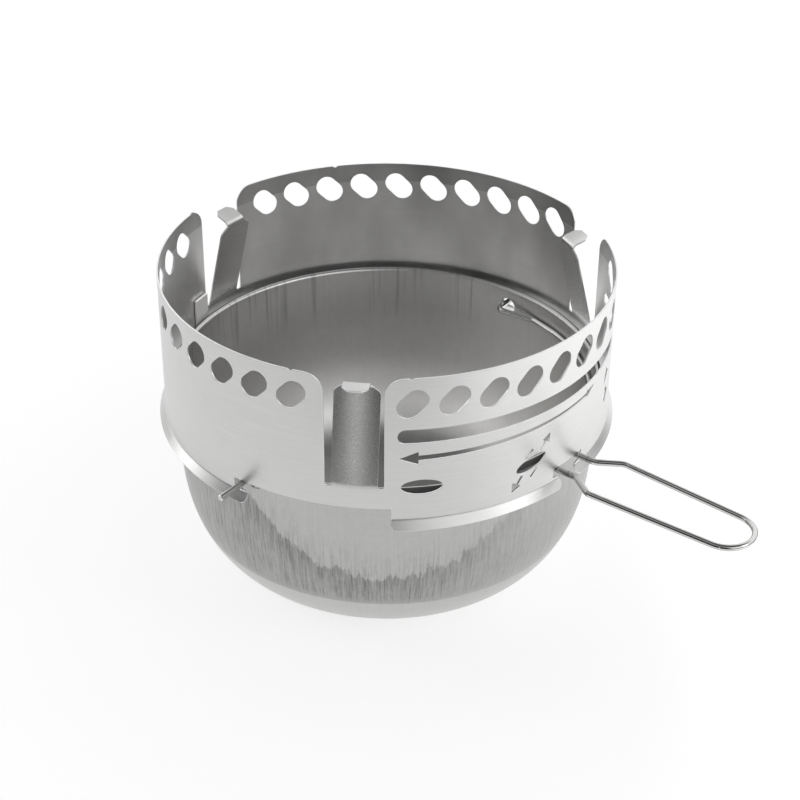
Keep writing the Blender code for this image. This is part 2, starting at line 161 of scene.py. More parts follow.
class Shader:
    """Small helper that adds nodes to a material and links them."""

    def __init__(self, name):
        self.material = bpy.data.materials.new(name)
        self.material.use_nodes = True
        self.tree = self.material.node_tree
        self.bsdf = self.tree.nodes["Principled BSDF"]

    def node(self, kind, settings=None, **inputs):
        node = self.tree.nodes.new("ShaderNode" + kind)
        for key, value in (settings or {}).items():
            setattr(node, key, value)
        for key, value in inputs.items():
            self.feed(node, key, value)
        return node

    def feed(self, node, key, value):
        socket = node.inputs[int(key[1:])] if key[0] == "_" else node.inputs[key.replace("_", " ")]
        if isinstance(value, bpy.types.NodeSocket):
            self.tree.links.new(value, socket)
        else:
            socket.default_value = value

    def math(self, operation, first, second=0.0, third=0.0):
        return self.node("Math", {"operation": operation}, _0=first, _1=second, _2=third).outputs[0]

    def span(self, value, low, high, to_low=0.0, to_high=1.0):
        """Smooth step of value, from to_low at low to to_high at high."""
        node = self.node("MapRange", {"interpolation_type": "SMOOTHSTEP"}, Value=value)
        for key, number in (("From Min", low), ("From Max", high), ("To Min", to_low), ("To Max", to_high)):
            self.feed(node, key, number)
        return node.outputs[0]

    def noise(self, vector, cells, detail=3.0, rough=0.55):
        """Noise with that many cells per unit of length along x, y and z."""
        place = self.node("Mapping", {"vector_type": "POINT"}, Vector=vector)
        place.inputs["Scale"].default_value = cells
        node = self.node("TexNoise", {"noise_dimensions": "3D"}, Vector=place.outputs[0], Scale=1.0,
                         Detail=detail)
        node.inputs["Roughness"].default_value = rough
        return node.outputs[0]

    def grey(self, value, tint=(1.0, 1.0, 1.0)):
        """Colour of one brightness, tinted."""
        node = self.node("CombineColor")
        for index in range(3):
            self.feed(node, "_%d" % index, self.math("MULTIPLY", value, tint[index]))
        return node.outputs[0]

    def bump(self, height, distance, strength=1.0):
        node = self.node("Bump", None, Height=height, Strength=strength, Distance=distance)
        self.tree.links.new(node.outputs[0], self.bsdf.inputs["Normal"])


def sheet_steel():
    """Satin strip: fine grain along the strip, broad cloudiness, stray hairline scratches, and painted light:
    the inner skin and the flange are painted lighter.
    """
    s = Shader("satin_strip")
    flat = s.node("UVMap").outputs[0]
    grain = s.noise(flat, (16, 900, 1), 4.0, 0.6)
    fine = s.noise(flat, (60, 4200, 1), 2.0, 0.7)
    cloud = s.noise(flat, (22, 30, 1), 3.0)
    blotch = s.noise(flat, (120, 90, 1), 4.0, 0.65)
    hair = s.noise(flat, (35, 1500, 1), 1.0, 0.4)
    hair = s.span(hair, 0.70, 0.76)
    value = s.math("MULTIPLY_ADD", grain, 0.10, 0.465)
    value = s.math("MULTIPLY_ADD", fine, 0.08, value)
    value = s.math("MULTIPLY_ADD", cloud, 0.06, value)
    value = s.math("MULTIPLY_ADD", blotch, 0.05, value)
    value = s.math("MULTIPLY_ADD", hair, 0.05, value)
    across = s.node("SeparateXYZ", None, Vector=flat).outputs[1]
    # the flange's outer face, below the bend line, is painted a little lighter: painted light
    value = s.math("MULTIPLY_ADD", s.span(across, -0.0002, -0.0012), 0.03, value)
    inside = s.math("GREATER_THAN", across, 0.5)
    # the inner skin, up to the hooks' fold, is painted lighter: painted light
    painted_light_inner_below_hook = s.math("MULTIPLY", inside, s.math("LESS_THAN", across, 1.062))
    value = s.math("MULTIPLY_ADD", painted_light_inner_below_hook, 0.21, value)
    tarnish = s.noise(flat, (24, 13, 1), 3.0, 0.5)
    tarnish = s.math("MULTIPLY", inside, s.math("MULTIPLY_ADD", tarnish, 1.0, -0.5))
    value = s.math("MULTIPLY_ADD", tarnish, 0.90, value)
    s.feed(s.bsdf, "Base Color", s.grey(value, (1.0, 0.997, 0.990)))
    rough = s.math("MULTIPLY_ADD", grain, 0.14, 0.24)
    rough = s.math("MULTIPLY_ADD", blotch, 0.10, rough)
    s.feed(s.bsdf, "Roughness", rough)
    s.bsdf.inputs["Metallic"].default_value = 1.0
    height = s.math("MULTIPLY_ADD", fine, 0.6, grain)
    s.bump(height, 0.00002, 0.5)
    return s.material


def tab_steel():
    """Pot supports: matt, gritty surface with a little soot in the grain, and the inner face painted lighter
    (painted light).
    """
    s = Shader("gritty_tab")
    flat = s.node("UVMap").outputs[0]
    grit = s.noise(flat, (1500, 1500, 1), 2.0, 0.8)
    speck = s.span(s.noise(flat, (800, 800, 1), 2.0, 0.6), 0.58, 0.68)
    cloud = s.noise(flat, (90, 60, 1), 3.0)
    value = s.math("MULTIPLY_ADD", grit, 0.30, 0.41)
    value = s.math("MULTIPLY_ADD", speck, 0.12, value)
    value = s.math("MULTIPLY_ADD", cloud, 0.10, value)
    inside = s.math("GREATER_THAN", s.node("SeparateXYZ", None, Vector=flat).outputs[1], 0.5)
    # the inner face is painted lighter: painted light
    value = s.math("MULTIPLY_ADD", inside, 0.14, value)
    s.feed(s.bsdf, "Base Color", s.grey(value, WARM))
    s.feed(s.bsdf, "Roughness", s.math("MULTIPLY_ADD", grit, 0.08, 0.24))
    s.bsdf.inputs["Metallic"].default_value = 1.0
    s.bump(grit, 0.00003, 0.25)
    return s.material


def cut_edge():
    """Bright, slightly rough metal on the sheared edges of the strip."""
    s = Shader("sheared_edge")
    flat = s.node("UVMap").outputs[0]
    shear = s.noise(flat, (3000, 3000, 1), 2.0, 0.6)
    s.feed(s.bsdf, "Base Color", s.grey(s.math("MULTIPLY_ADD", shear, 0.14, 0.80)))
    s.feed(s.bsdf, "Roughness", s.math("MULTIPLY_ADD", shear, 0.20, 0.32))
    s.bsdf.inputs["Metallic"].default_value = 0.85
    return s.material


def bowl_steel():
    """Deep-drawn steel: vertical streaks, a ragged stain line on the side, a cleaner foot, drips inside,
    painted light inside, and painted shade on the rolled rim's outer side.
    """
    s = Shader("drawn_bowl")
    place = s.node("TexCoord").outputs["Object"]
    split = s.node("SeparateXYZ", None, Vector=place)
    x, y, z = split.outputs
    around = s.node("CombineXYZ", None, X=x, Y=y)
    unit = s.node("VectorMath", {"operation": "NORMALIZE"}, _0=around.outputs[0]).outputs[0]
    parts = s.node("SeparateXYZ", None, Vector=unit)
    wall = s.node("CombineXYZ", None, X=parts.outputs[0], Y=parts.outputs[1], Z=z).outputs[0]
    hair = s.noise(wall, (150, 150, 10), 3.0, 0.6)
    mottle = s.noise(wall, (26, 26, 260), 5.0, 0.7)
    streak = s.noise(wall, (105, 105, 60), 5.0, 0.8)
    drip = s.noise(wall, (34, 34, 9), 3.0, 0.6)
    ragged = s.noise(wall, (16, 16, 24), 6.0, 0.8)
    facing = s.node("VectorMath", {"operation": "DOT_PRODUCT"}, _0=s.node("NewGeometry").outputs["Normal"],
                    _1=unit).outputs["Value"]
    inner = s.math("LESS_THAN", facing, 0.0)
    outer = s.math("SUBTRACT", 1.0, inner)
    # outside: a ragged tide line, low in front and high at the sides, over a smooth foot
    tide = s.math("MULTIPLY_ADD", s.math("ADD", parts.outputs[1], 1.0), 0.16, 0.034)
    tide = s.math("MULTIPLY_ADD", ragged, 0.030, tide)
    below = s.math("SUBTRACT", tide, z)
    stained = s.math("MULTIPLY", s.span(below, -0.0004, 0.0006), s.span(z, STAIN_FLOOR, STAIN_FLOOR + 0.001))
    lip = s.math("MULTIPLY", stained, s.span(below, 0.020, 0.001))
    scale = s.math("MULTIPLY", s.span(streak, 0.42, 0.66), s.span(below, -0.022, 0.002))
    scale = s.math("MULTIPLY", scale, s.span(z, STAIN_FLOOR, 0.036))
    mark = s.math("MULTIPLY_ADD", stained, 0.09, s.math("MULTIPLY", lip, 0.05))
    mark = s.math("MULTIPLY_ADD", scale, 0.15, mark)
    mark = s.math("MULTIPLY", mark, s.span(parts.outputs[0], 0.05, 0.70, 1.0, 0.45))
    foot = s.math("MULTIPLY", s.span(z, 0.0314, 0.0304), 0.05)
    # inside: drips from the rim, and painted light: the whole inside is painted lighter, and lighter still
    # lower down
    group = s.noise(wall, (5, 5, 4), 2.0, 0.5)
    reach = s.math("MULTIPLY_ADD", group, -0.05, 0.104)
    run = s.math("MULTIPLY", s.span(drip, 0.52, 0.66), s.span(s.math("SUBTRACT", z, reach), -0.008, 0.012))
    run = s.math("MULTIPLY", run, s.span(group, 0.44, 0.56))
    lower = s.math("MULTIPLY", s.span(z, 0.088, 0.040), s.span(z, 0.006, 0.026))
    inside_drips_and_painted_light = s.math("MULTIPLY_ADD", lower, 0.20, 0.16)
    inside_drips_and_painted_light = s.math("MULTIPLY_ADD", run, -0.17, inside_drips_and_painted_light)
    value = s.math("MULTIPLY_ADD", hair, 0.08, 0.37)
    value = s.math("MULTIPLY_ADD", mottle, 0.12, value)
    value = s.math("MULTIPLY_ADD", inner, inside_drips_and_painted_light, value)
    value = s.math("MULTIPLY_ADD", outer, s.math("SUBTRACT", foot, mark), value)
    # the rolled rim's outer side, inside the windscreen, is rougher and painted darker: painted shade
    radius = s.node("VectorMath", {"operation": "LENGTH"}, _0=around.outputs[0]).outputs["Value"]
    rim_dull_and_painted_shade = s.math("MULTIPLY", s.span(radius, (BEAD_CENTRE_R - 0.1) * MM, (BEAD_CENTRE_R + 0.4) * MM),
                    s.span(z, (BEAD_Z - BEAD_R - 1.5) * MM, (BEAD_Z - BEAD_R) * MM))
    value = s.math("MULTIPLY", value, s.span(rim_dull_and_painted_shade, 0.0, 1.0, 1.0, 0.42))
    s.feed(s.bsdf, "Base Color", s.grey(value, WARM))
    rough = s.math("MULTIPLY_ADD", mottle, 0.20, 0.24)
    s.feed(s.bsdf, "Roughness", s.math("MULTIPLY_ADD", rim_dull_and_painted_shade, 0.60, rough))
    s.bsdf.inputs["Metallic"].default_value = 1.0
    s.bump(mottle, 0.00004, 0.5)
    return s.material


def wire_metal():
    """Smooth drawn wire with faint marks."""
    s = Shader("polished_wire")
    place = s.node("TexCoord").outputs["Object"]
    draw = s.noise(place, (700, 700, 700), 3.0)
    mark = s.noise(place, (160, 160, 160), 4.0, 0.7)
    value = s.math("MULTIPLY_ADD", draw, 0.10, 0.50)
    value = s.math("MULTIPLY_ADD", mark, 0.08, value)
    s.feed(s.bsdf, "Base Color", s.grey(value, WARM))
    s.feed(s.bsdf, "Roughness", s.math("MULTIPLY_ADD", mark, 0.07, 0.02))
    s.bsdf.inputs["Metallic"].default_value = 1.0
    s.bump(mark, 0.00003, 0.35)
    return s.material


# ------------------------------------------------------------------ flat outlines

def arc_points(centre, radius, start, end, steps):
    angles = [math.radians(start + (end - start) * step / steps) for step in range(steps + 1)]
    return [(centre[0] + radius * math.cos(a), centre[1] + radius * math.sin(a)) for a in angles]


def rounded(corners, steps=8):
    """Closed outline through (x, y, radius) corners."""
    outline = []
    count = len(corners)
    for index, (x, y, radius) in enumerate(corners):
        here = Vector((x, y))
        if radius <= 0:
            outline.append((x, y))
            continue
        before = (Vector(corners[index - 1][:2]) - here).normalized()
        after = (Vector(corners[(index + 1) % count][:2]) - here).normalized()
        half = math.acos(max(-1.0, min(1.0, before.dot(after)))) / 2
        centre = here + (before + after).normalized() * radius / math.sin(half)
        first = here + before * radius / math.tan(half) - centre
        turn = first.angle_signed(here + after * radius / math.tan(half) - centre)
        for step in range(steps + 1):
            spoke = first.copy()
            spoke.rotate(Matrix.Rotation(-turn * step / steps, 2))
            outline.append(tuple(centre + spoke))
    return outline


def oblong(x, y, length, width, slant, steps=12):
    """Outline of a slot with round ends, centred on (x, y) and slanted by degrees."""
    half = (length - width) / 2
    axis = Vector((math.cos(math.radians(slant)), math.sin(math.radians(slant))))
    right = arc_points(tuple(Vector((x, y)) + axis * half), width / 2, slant - 90, slant + 90, steps)
    left = arc_points(tuple(Vector((x, y)) - axis * half), width / 2, slant + 90, slant + 270, steps)
    return right + left


def ellipse(x, y, length, height, slant=0.0, steps=36):
    """Outline of an ellipse centred on (x, y), slanted by degrees."""
    points = []
    tilt = math.radians(slant)
    for step in range(steps):
        angle = 2 * math.pi * step / steps
        along = length / 2 * math.cos(angle)
        across = height / 2 * math.sin(angle)
        points.append((x + along * math.cos(tilt) - across * math.sin(tilt),
                       y + along * math.sin(tilt) + across * math.cos(tilt)))
    return points


def filled(outline, openings):
    """Flat triangle mesh of an outline with openings, as a bmesh."""
    curve = bpy.data.curves.new("pattern", "CURVE")
    curve.dimensions = "2D"
    curve.fill_mode = "BOTH"
    for loop in [outline] + openings:
        spline = curve.splines.new("POLY")
        spline.points.add(len(loop) - 1)
        for point, (x, y) in zip(spline.points, loop):
            point.co = (x * MM, y * MM, 0.0, 1.0)
        spline.use_cyclic_u = True
    item = bpy.data.objects.new("pattern", curve)
    bpy.context.scene.collection.objects.link(item)
    mesh = bpy.data.meshes.new_from_object(item.evaluated_get(bpy.context.evaluated_depsgraph_get()))
    bpy.data.objects.remove(item, do_unlink=True)
    model = bmesh.new()
    model.from_mesh(mesh)
    bpy.data.meshes.remove(mesh)
    bmesh.ops.remove_doubles(model, verts=model.verts, dist=1e-6)
    bmesh.ops.dissolve_limit(model, angle_limit=math.radians(1), verts=model.verts, edges=model.edges)
    return model


def score(model, offsets, normal):
    """Cut the flat pattern along lines, so that it can bend there."""
    for offset in offsets:
        geometry = list(model.verts) + list(model.edges) + list(model.faces)
        point = normal * offset * MM
        bmesh.ops.bisect_plane(model, geom=geometry, dist=1e-7, plane_co=point, plane_no=normal)


def burr_shift(flat, rims, size):
    """How far every point on a cut edge moves into the sheet, to leave the corner rounded off."""
    pulls = {}
    for a, b in rims:
        dx, dy = flat[b][0] - flat[a][0], flat[b][1] - flat[a][1]
        length = math.hypot(dx, dy) or 1.0
        for index in (a, b):
            pulls.setdefault(index, []).append((-dy / length, dx / length))
    shifts = {}
    for index, sides in pulls.items():
        px, py = sum(p[0] for p in sides), sum(p[1] for p in sides)
        length = math.hypot(px, py)
        # 0.3 leaves out points whose two sides almost cancel, where the sheet's inside is not defined
        shifts[index] = (px / length * size, py / length * size) if length > 0.3 else (0.0, 0.0)
    return shifts


def flat_parts(model):
    """Points, triangles and cut edges of a flat pattern, in millimetres, facing up. Uses the model up."""
    bmesh.ops.remove_doubles(model, verts=model.verts, dist=0.015 * MM)
    model.normal_update()
    bmesh.ops.reverse_faces(model, faces=[face for face in model.faces if face.normal.z < 0])
    bmesh.ops.triangulate(model, faces=model.faces)
    model.verts.index_update()
    flat = [(v.co.x / MM, v.co.y / MM) for v in model.verts]
    tris = [tuple(v.index for v in f.verts) for f in model.faces]
    rims = [(e.link_loops[0].vert.index, e.link_loops[0].link_loop_next.vert.index)
            for e in model.edges if len(e.link_faces) == 1]
    model.free()
    return flat, tris, rims


def surface_normal(bend, x, y, step=0.02):
    across = bend(x + step, y, 0.0) - bend(x - step, y, 0.0)
    upward = bend(x, y + step, 0.0) - bend(x, y - step, 0.0)
    return across.cross(upward).normalized()


def bent_skin(name, model, bend, thickness, materials, zone):
    """Two skins of a flat pattern, bent by bend(x, y, depth) and joined along every cut edge.

    The normals are exact. The mesh's points are the outer skin, the inner skin, then the outer and inner lip
    of every cut edge.
    zone(x, y) picks the material of the skins, and the cut faces take the last one.
    """
    flat, tris, rims = flat_parts(model)
    normals = [surface_normal(bend, x, y) for x, y in flat]
    shifts = burr_shift(flat, rims, BURR)
    on_rim = sorted(shifts)
    outer = []
    inner = []
    pulls = []
    for index, ((x, y), normal) in enumerate(zip(flat, normals)):
        dx, dy = shifts.get(index, (0.0, 0.0))
        surface = bend(x, y, 0.0)
        pull = bend(x + dx, y + dy, 0.0) - surface
        pulls.append(pull)
        outer.append(surface + pull + normal * thickness / 2)
        inner.append(surface + pull - normal * thickness / 2)
    lip = thickness / 2 - BURR
    high = [bend(*flat[index], 0.0) + normals[index] * lip for index in on_rim]
    low = [bend(*flat[index], 0.0) - normals[index] * lip for index in on_rim]

    count = len(flat)
    first_high = 2 * count
    first_low = first_high + len(on_rim)
    rank = {index: k for k, index in enumerate(on_rim)}
    faces = tris + [tuple(count + i for i in reversed(t)) for t in tris]
    for a, b in rims:
        high_a, high_b = first_high + rank[a], first_high + rank[b]
        low_a, low_b = first_low + rank[a], first_low + rank[b]
        faces += [(b, a, high_a, high_b), (high_b, high_a, low_a, low_b),
                  (low_b, low_a, count + a, count + b)]
    mesh = bpy.data.meshes.new(name)
    mesh.from_pydata([tuple(p * MM) for p in outer + inner + high + low], [], faces)
    for material in materials:
        mesh.materials.append(material)

    # the texture's second coordinate is one metre more on the inner side
    uv = mesh.uv_layers.new(name="UVMap")
    source = list(range(count)) * 2 + on_rim + on_rim
    custom = []
    for polygon in mesh.polygons:
        polygon.use_smooth = True
        for loop in polygon.loop_indices:
            vertex = mesh.loops[loop].vertex_index
            origin = source[vertex]
            x, y = flat[origin]
            outside = vertex < count or first_high <= vertex < first_low
            uv.data[loop].uv = (x * MM, y * MM + (0.0 if outside else 1.0))
            if vertex < count:
                custom.append(normals[origin])
            elif vertex < first_high:
                custom.append(-normals[origin])
            else:
                custom.append((-pulls[origin]).normalized() if pulls[origin].length > 0 else polygon.normal)
        corners = [flat[source[v]] for v in polygon.vertices]
        middle = [sum(values) / len(corners) for values in zip(*corners)]
        on_skin = polygon.index < 2 * len(tris)
        polygon.material_index = zone(*middle) if on_skin else len(materials) - 1
    mesh.normals_split_custom_set(custom)
    return placed(name, mesh)


def placed(name, mesh):
    """New object of a mesh, in the scene."""
    item = bpy.data.objects.new(name, mesh)
    bpy.context.scene.collection.objects.link(item)
    return item


# ------------------------------------------------------------------ windscreen

def run_of(azimuth):
    """Distance along the strip, from azimuth 0."""
    return math.radians(azimuth) * SCREEN_R


def flange_run(start, joined_from, joined_to, end):
    """Lower-edge corners of a flange. Beyond the two middle azimuths it is a free tongue."""
    corners = [(joined_from, PLAIN_EDGE, CREASE_R)]
    if start < joined_from:
        corners += [(joined_from, TONGUE_TOP, CREASE_R), (start, TONGUE_TOP, TONGUE_ROOT_R)]
    corners += [(start, -FLANGE, FLANGE_CORNER_R), (end, -FLANGE, FLANGE_CORNER_R)]
    if end > joined_to:
        corners += [(end, TONGUE_TOP, TONGUE_ROOT_R), (joined_to, TONGUE_TOP, CREASE_R)]
    corners.append((joined_to, PLAIN_EDGE, CREASE_R))
    return [(run_of(azimuth), y, radius) for azimuth, y, radius in corners]


def notch(centre):
    """Upper-edge corners of a notch with its tab, from right to left."""
    middle = run_of(centre)
    half = run_of(NOTCH_HALF)
    fold = NOTCH_FLOOR + TAB_FOLD
    top = fold + HOOK_LENGTH
    right = [(half, SCREEN_H, CORNER_R), (half, NOTCH_FLOOR, NOTCH_ROOT_R),
             (TAB_HALF, NOTCH_FLOOR, NOTCH_ROOT_R), (TAB_HALF, NOTCH_FLOOR + TAB_SHOULDER, TAB_SHOULDER_R),
             (HOOK_HALF, fold - 0.6, CREASE_R), (HOOK_HALF, top - HOOK_CORNER, 0.6),
             (HOOK_HALF - HOOK_CORNER, top, 0.6)]
    left = [(-x, y, radius) for x, y, radius in reversed(right)]
    return [(middle + x, y, radius) for x, y, radius in right + left]


def dent(azimuth):
    """Small dent in the top edge, from right to left."""
    x = run_of(azimuth)
    floor = SCREEN_H - DENT_DEPTH
    return [(x + 1.1, SCREEN_H, 0.0), (x + 0.6, floor, 0.3), (x - 0.6, floor, 0.3), (x - 1.1, SCREEN_H, 0.0)]


def strip_outline():
    """Flat outline of the whole strip, from one side of the lap seam to the other."""
    start = run_of(STRIP_END - 360.0 + SEAM_GAP)
    end = run_of(STRIP_END)
    corners = [(start, PLAIN_EDGE, 0)]
    for run in FLANGE_RUNS:
        corners += flange_run(*run)
    corners += [(end, PLAIN_EDGE, 0), (end, SCREEN_H, 0.0)]
    for centre in reversed(NOTCHES):
        corners += notch(centre)
        corners += dent(DENTS[centre])
    corners.append((start, SCREEN_H, 0.0))
    return rounded(corners)


def turn_arrow():
    """Long two-headed arrow under the slot, large head at one end and small at the other."""
    tip, head, small, end = (run_of(a) for a in (ARROW_TIP, ARROW_HEAD, ARROW_SMALL_HEAD, ARROW_END))
    return rounded([(tip, 31.6, 0.3), (head, 28.4, 0.2), (head, 30.4, 0.1), (small, 33.4, 0),
                    (small, 32.5, 0), (end, 36.0, 0.2), (small, 35.9, 0), (small, 34.9, 0),
                    (head, 33.0, 0.1), (head, 34.9, 0.2)], 3)


def lift_symbol():
    """Tilted disc with an arrow and a stroke on each side of it."""
    x = run_of(LIFT_SYMBOL_AZ)
    arrow = [(4.7, 5.0), (5.8, 4.6), (8.3, 8.0), (10.3, 7.0), (10.5, 11.9), (6.0, 9.6), (7.3, 8.7)]
    stroke = [(-2.9, 3.1), (0.7, 6.9), (-0.1, 7.6), (-3.7, 3.8)]
    outlines = [ellipse(x, LIFT_SYMBOL_Z, DISC_LENGTH, DISC_HEIGHT, DISC_SLANT)]
    for mark in (arrow, stroke):
        outlines.append([(x + dx, LIFT_SYMBOL_Z + dy) for dx, dy in mark])
        outlines.append([(x - dx, LIFT_SYMBOL_Z - dy) for dx, dy in mark])
    return outlines


def direction_mark():
    """Small triangle above a diamond."""
    x = run_of(DIRECTION_MARK_AZ)
    triangle = [(x - 4.6, 26.6), (x + 3.2, 30.6), (x - 1.2, 34.6)]
    diamond = [(x, 14.6), (x + 5.0, 19.4), (x, 24.2), (x - 5.0, 19.4)]
    return [triangle, diamond]


def strip_openings():
    openings = []
    for row in VENT_ROWS:
        for index in range(VENTS_PER_ROW):
            azimuth = row + (index - (VENTS_PER_ROW - 1) / 2) * VENT_PITCH
            openings.append(oblong(run_of(azimuth), VENT_Z, VENT_LENGTH, VENT_WIDTH, VENT_SLANT))
    openings.append(oblong(run_of(SLOT_MIDDLE), SLOT_Z, run_of(SLOT_SPAN), SLOT_WIDTH, 0.0))
    openings.append(turn_arrow())
    openings.append(ellipse(run_of(OVAL_AZ), OVAL_Z, OVAL_LENGTH, OVAL_HEIGHT))
    return openings + lift_symbol() + direction_mark()


def profile(knots, low, high):
    """Bent section of the strip: inset and height over the flat height y, from (y, degrees) knots."""
    ys = np.arange(low, high, PROFILE_STEP)
    turns = np.radians(np.interp(ys, [k[0] for k in knots], [k[1] for k in knots]))
    inset = np.concatenate([[0.0], np.cumsum(np.sin(turns[:-1]) * PROFILE_STEP)])
    height = np.concatenate([[0.0], np.cumsum(np.cos(turns[:-1]) * PROFILE_STEP)])
    anchor = np.argmin(np.abs(ys - ANCHOR_Y))
    return ys, inset - inset[anchor], height - height[anchor] + ANCHOR_Y


def make_screen(material, rough, edge):
    """The whole strip: the band with its flange, and the three tabs, whose outer face is rougher."""
    fold = NOTCH_FLOOR + TAB_FOLD
    lowest = -FLANGE - 2
    plain = profile([(-0.8, FLARE), (0.6, 0.0)], lowest, SCREEN_H + 2)
    tabs = {}
    for centre in NOTCHES:
        knots = [(NOTCH_FLOOR - 1.2, 0.0), (NOTCH_FLOOR + 2.2, TAB_LEAN),
                 (fold - 1.8, TAB_LEAN), (fold + 2.0, HOOK_RISE[centre] - 90.0)]
        tabs[centre] = profile(knots, lowest, fold + HOOK_LENGTH + 2)

    def bend(x, y, depth):
        azimuth = math.degrees(x / SCREEN_R)
        on_tab = None
        for centre in NOTCHES:
            if abs(azimuth - centre) < NOTCH_HALF * 0.9 and y > NOTCH_FLOOR - 2.0:
                on_tab = centre
        ys, insets, heights = plain if on_tab is None else tabs[on_tab]
        inset = float(np.interp(y, ys, insets))
        height = BEND_Z + float(np.interp(y, ys, heights))
        if on_tab is None:
            return polar(SCREEN_R + depth - inset, azimuth, height)
        return polar(SCREEN_R + depth, azimuth, height) - polar(inset, on_tab, 0.0)

    def zone(x, y):
        """1 on the pot supports and 0 elsewhere."""
        near = min(abs(x - run_of(centre)) for centre in NOTCHES)
        return 1 if near < TAB_HALF + 1.0 and NOTCH_FLOOR + 0.6 < y < fold - 1.0 else 0

    model = filled(strip_outline(), strip_openings())
    low, high = run_of(STRIP_END - 360.0 + SEAM_GAP), run_of(STRIP_END)
    columns = [low + (high - low) * k / COLUMNS for k in range(1, COLUMNS)]
    # rows where the sheet curves: the flange's bend, the tab's foot and its fold
    rows = [-0.8 + 0.2 * k for k in range(8)]
    rows += [NOTCH_FLOOR - 1.2 + 0.57 * k for k in range(7)]
    rows += [fold - 1.8 + 0.38 * k for k in range(11)]
    score(model, columns, Vector((1, 0, 0)))
    score(model, rows, Vector((0, 1, 0)))
    return bent_skin("windscreen_strip", model, bend, SHEET, [material, rough, edge], zone)


# ------------------------------------------------------------------ turned pieces

def lathe(name, section, steps, material, sharp):
    """Solid of revolution of (radius, height) points that start and end on the axis. sharp is in degrees."""
    model = bmesh.new()
    verts = [model.verts.new((r * MM, 0.0, h * MM)) for r, h in section]
    edges = [model.edges.new((a, b)) for a, b in zip(verts, verts[1:])]
    bmesh.ops.spin(model, geom=verts + edges, cent=(0, 0, 0), axis=(0, 0, 1), angle=2 * math.pi,
                   steps=steps, use_merge=True, use_normal_flip=False)
    bmesh.ops.remove_doubles(model, verts=model.verts, dist=1e-6)
    bmesh.ops.recalc_face_normals(model, faces=model.faces)
    mesh = bpy.data.meshes.new(name)
    model.to_mesh(mesh)
    model.free()
    mesh.shade_smooth()
    mesh.set_sharp_from_angle(angle=math.radians(sharp))
    mesh.materials.append(material)
    return placed(name, mesh)


def wall_profile(offset, steps=40):
    """Side of the bowl from under the rim to the flat bottom, moved inward by offset."""
    points = [(TOP_R - offset, BEAD_Z - BEAD_R)]
    for step in range(steps + 1):
        angle = math.pi / 2 * step / steps
        spread = abs(math.cos(angle)) ** (2 / CURVE)
        drop = math.sin(angle) ** (2 / CURVE)
        radius = BASE_R + (WALL_R - BASE_R - offset) * spread
        points.append((radius, offset + (TURN_Z - offset) * (1 - drop)))
    return points


def make_bowl(material):
    """Bowl with its rolled rim and the four holes that the wire passes through."""
    inside = list(reversed(wall_profile(BOWL_SHEET)))
    bead = arc_points((BEAD_CENTRE_R, BEAD_Z), BEAD_R, 180, -104, 20)
    section = [(0.0, BOWL_SHEET)] + inside[:-1] + bead + wall_profile(0.0)[1:] + [(0.0, 0.0)]
    body = lathe("bowl_shell", section, 240, material, 50.0)
    shift = math.radians(HALF_TRAVEL) * TOP_R
    for side, azimuth in TIPS.items():
        sign = 1 if side == "left" else -1
        turned = azimuth + math.degrees(shift / TOP_R) * sign
        drill(body, polar(TOP_R, turned, WIRE_Z), polar(1, turned, 0))
        lateral = (LEG_HALF - shift) * -sign
        drill(body, handle_point(math.sqrt(TOP_R ** 2 - lateral ** 2), lateral), polar(1, HANDLE_AZ, 0))
    apply_modifiers(body)
    return body


def drill(body, centre, direction):
    """Round wire hole through body."""
    bpy.ops.mesh.primitive_cylinder_add(vertices=48, radius=WIRE_HOLE_R * MM, depth=WIRE_HOLE_DEPTH * MM)
    cutter = bpy.context.object
    cutter.location = centre * MM
    cutter.rotation_mode = "QUATERNION"
    cutter.rotation_quaternion = direction.to_track_quat("Z", "Y")
    hole = body.modifiers.new("hole", "BOOLEAN")
    hole.object = cutter
    hole.solver = "EXACT"


def apply_modifiers(item):
    """Bake the modifiers into the mesh, and remove the cutters."""
    cutters = [m.object for m in item.modifiers if m.type == "BOOLEAN"]
    depsgraph = bpy.context.evaluated_depsgraph_get()
    mesh = bpy.data.meshes.new_from_object(item.evaluated_get(depsgraph))
    item.modifiers.clear()
    item.data = mesh
    for cutter in cutters:
        bpy.data.objects.remove(cutter, do_unlink=True)


# ------------------------------------------------------------------ handle

def handle_point(along, lateral):
    """Point of the handle's plane: along its axis from the bowl's centre, and across it to its left."""
    return polar(along, HANDLE_AZ, WIRE_Z) + polar(lateral, HANDLE_AZ + 90, 0.0)


def fillet_path(points, radius, steps=10):
    """Open path with each inner corner rounded to radius."""
    path = [points[0]]
    for before, here, after in zip(points, points[1:], points[2:]):
        back = (before - here).normalized()
        ahead = (after - here).normalized()
        half = back.angle(ahead) / 2
        reach = min(radius / math.tan(half), (before - here).length * 0.48, (after - here).length * 0.48)
        start = here + back * reach
        end = here + ahead * reach
        for step in range(steps + 1):
            t = step / steps
            path.append(start * (1 - t) ** 2 + here * 2 * t * (1 - t) + end * t ** 2)
    path.append(points[-1])
    return path


